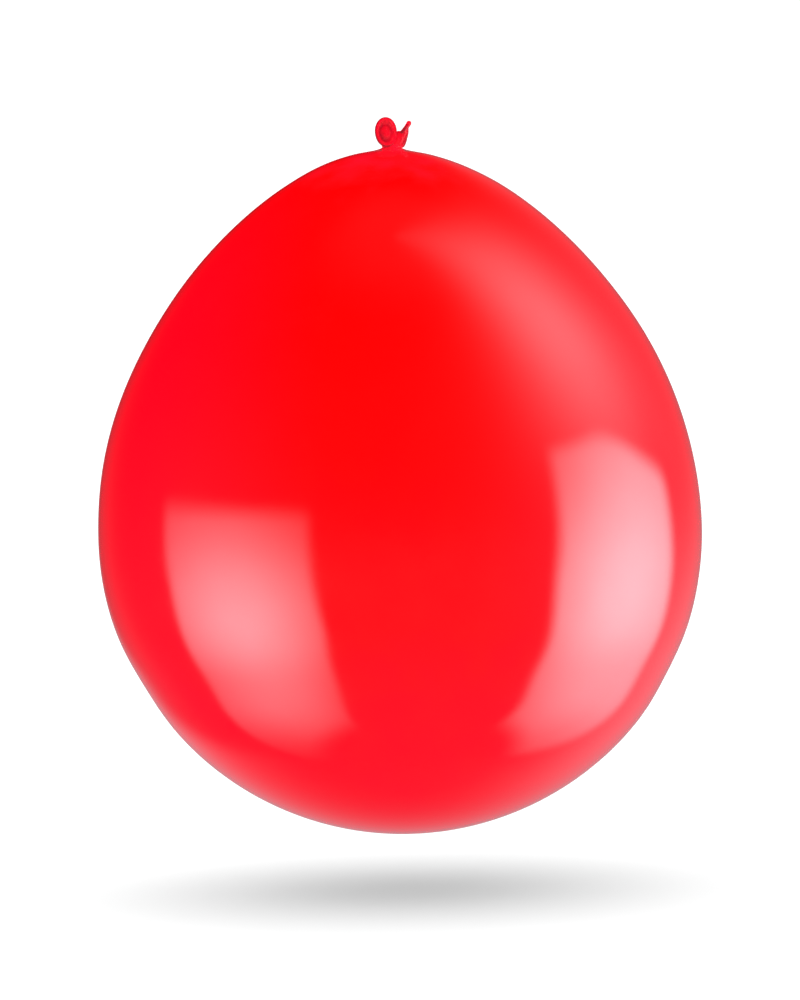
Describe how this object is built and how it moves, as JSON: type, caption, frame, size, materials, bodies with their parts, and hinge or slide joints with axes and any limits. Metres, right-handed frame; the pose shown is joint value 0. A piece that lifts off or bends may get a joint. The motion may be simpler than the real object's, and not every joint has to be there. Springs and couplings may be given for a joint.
{
  "type": "latex balloon",
  "caption": "Round inflated latex party balloon tied in its own neck, with a knot and an open rolled-rim tail.",
  "frame": {"origin": "the tie, on the axis of the neck, where the film meets the knot", "axes": "+Z out of the balloon through the knot, +X to the right with the open ear of the tail facing the front, +Y to the back"},
  "size_m": [0.2993, 0.2994, 0.3562],
  "materials": {
    "stretched_film": "glossy stretched latex film",
    "thick_latex": "satin, thicker and darker than the stretched film",
    "slack_latex": "satin unstretched latex",
    "rolled_bead": "satin rolled edge"
  },
  "bodies": {
    "envelope": {"balloon_skin": "stretched_film", "crown_spot": "thick_latex"},
    "shoulder": {"shoulder_ring": "stretched_film"},
    "collar": {"neck_collar": "stretched_film"},
    "knot": {"neck_throat": "slack_latex", "knot_turn": "slack_latex", "knot_tuck": "slack_latex", "tail_web": "slack_latex"},
    "left_ear": {"left_lobe": "slack_latex", "left_rim": "rolled_bead"},
    "right_ear": {"right_lobe": "slack_latex", "right_rim": "rolled_bead"}
  },
  "joints": [
    {"name": "neck_lean_side", "type": "hinge", "parent": "envelope", "child": "shoulder", "pos_m": [0, 0, -0.004], "axis": [0, 1, 0], "range_deg": [-25, 25], "stiffness_Nm_per_rad": 0.00002},
    {"name": "neck_lean_front", "type": "hinge", "parent": "shoulder", "child": "collar", "pos_m": [0, 0, -0.004], "axis": [1, 0, 0], "range_deg": [-25, 25], "stiffness_Nm_per_rad": 0.00002},
    {"name": "neck_twist", "type": "hinge", "parent": "collar", "child": "knot", "pos_m": [0, 0, 0], "axis": [0, 0, 1], "range_deg": [-45, 45], "stiffness_Nm_per_rad": 0.00002},
    {"name": "left_ear_flex", "type": "hinge", "parent": "knot", "child": "left_ear", "pos_m": [0.0026, -0.0024, 0.005], "axis": [0, 0, 1], "range_deg": [0, 40], "stiffness_Nm_per_rad": 0.000002},
    {"name": "right_ear_flex", "type": "hinge", "parent": "knot", "child": "right_ear", "pos_m": [0.0034, 0, 0.0022], "axis": [0, 1, 0], "range_deg": [-8, 25], "stiffness_Nm_per_rad": 0.000002}
  ]
}
